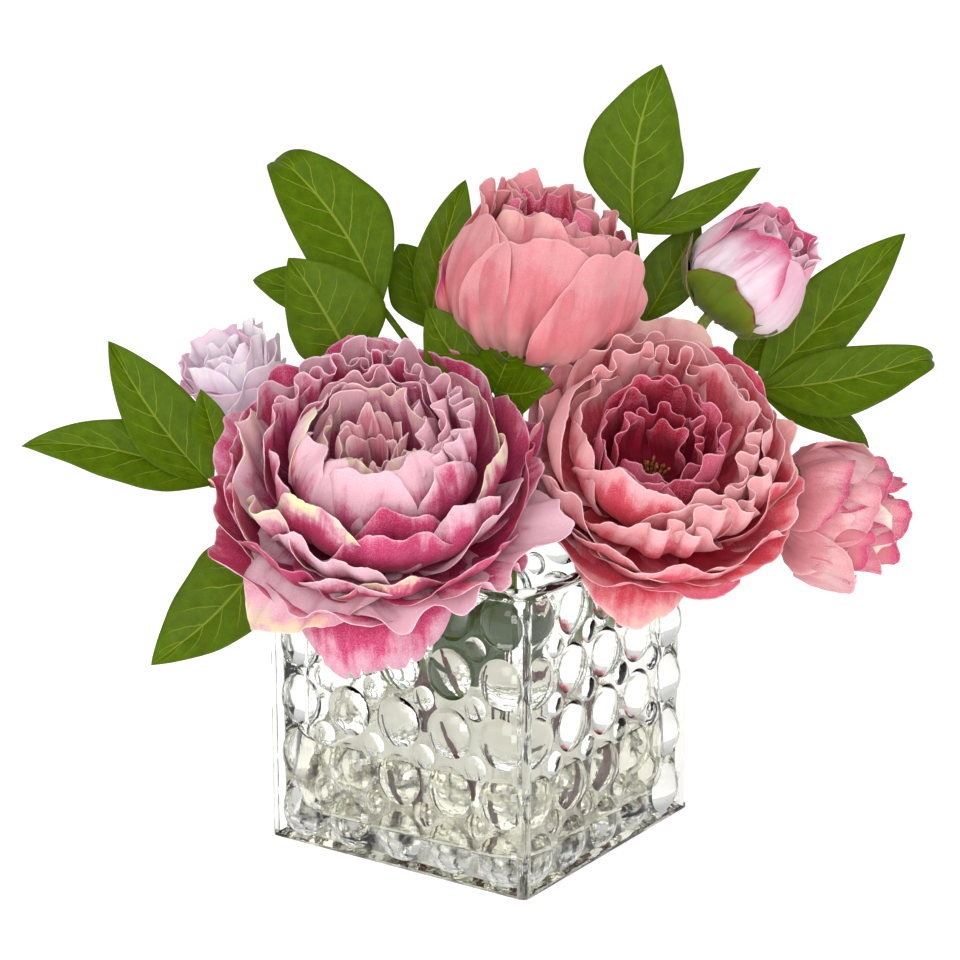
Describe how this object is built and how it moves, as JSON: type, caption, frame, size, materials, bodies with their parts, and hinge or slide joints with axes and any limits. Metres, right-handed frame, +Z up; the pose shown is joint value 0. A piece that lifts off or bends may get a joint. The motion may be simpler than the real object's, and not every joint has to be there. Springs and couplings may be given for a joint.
{
  "type": "peonies in a vase",
  "caption": "Cloth peonies and buds with leaf sprays, standing in a square bubble-glass vase on clear set water.",
  "frame": {"origin": "centre of the vase's underside, on the surface it stands on", "axes": "+Z up; the vase's four sides face along X and Y; the arrangement fronts the vase's corner between -Y and +X"},
  "size_m": [0.2613, 0.2519, 0.2837],
  "materials": {
    "glass": "clear pressed glass with raised round bubbles",
    "water": "clear cast resin",
    "mauve_cloth": "dyed polyester petal cloth, deep magenta at the base to pale lilac and cream rims",
    "coral_cloth": "dyed petal cloth, crimson at the heart to coral and peach rims",
    "cup_cloth": "dyed petal cloth, even coral pink with a magenta heart",
    "blush_cloth": "dyed petal cloth, blush white with magenta rims",
    "lilac_cloth": "dyed petal cloth, pale lilac",
    "leaf_cloth": "printed leaf cloth with pressed pale veins, satin",
    "sepal_cloth": "printed sepal cloth, olive with a brown-red rim",
    "stem": "moulded stem sheath, green to red-brown",
    "stamens": "short yellow-brown threads"
  },
  "bodies": {
    "root": {"bud_left_calyx": "sepal_cloth", "bud_left_petals_1": "lilac_cloth", "bud_left_petals_2": "lilac_cloth", "bud_left_stem": "stem", "bud_right_calyx": "sepal_cloth", "bud_right_petals_1": "cup_cloth", "bud_right_petals_2": "cup_cloth", "bud_right_stem": "stem", "bud_upper_calyx": "sepal_cloth", "bud_upper_petals_1": "blush_cloth", "bud_upper_petals_2": "blush_cloth", "bud_upper_stem": "stem", "coral_calyx": "sepal_cloth", "coral_petals_1": "coral_cloth", "coral_petals_2": "coral_cloth", "coral_petals_3": "coral_cloth", "coral_petals_4": "coral_cloth", "coral_petals_5": "coral_cloth", "coral_stamens": "stamens", "coral_stem": "stem", "cup_calyx": "sepal_cloth", "cup_petals_1": "cup_cloth", "cup_petals_2": "cup_cloth", "cup_petals_3": "cup_cloth", "cup_petals_4": "cup_cloth", "cup_stamens": "stamens", "cup_stem": "stem", "glass_vase": "glass", "leaf_back_left": "leaf_cloth", "leaf_back_right": "leaf_cloth", "leaf_before_bud": "leaf_cloth", "leaf_beside_cup": "leaf_cloth", "leaf_centre": "leaf_cloth", "leaf_in_vase": "leaf_cloth", "leaf_left": "leaf_cloth", "leaf_low_left": "leaf_cloth", "leaf_mid_left": "leaf_cloth", "leaf_right": "leaf_cloth", "leaf_top_right": "leaf_cloth", "leaf_under_bud": "leaf_cloth", "leaf_under_cup": "leaf_cloth", "leaf_upper_left": "leaf_cloth", "mauve_calyx": "sepal_cloth", "mauve_petals_1": "mauve_cloth", "mauve_petals_2": "mauve_cloth", "mauve_petals_3": "mauve_cloth", "mauve_petals_4": "mauve_cloth", "mauve_petals_5": "mauve_cloth", "mauve_stamens": "stamens", "mauve_stem": "stem", "set_water": "water"}
  },
  "joints": []
}
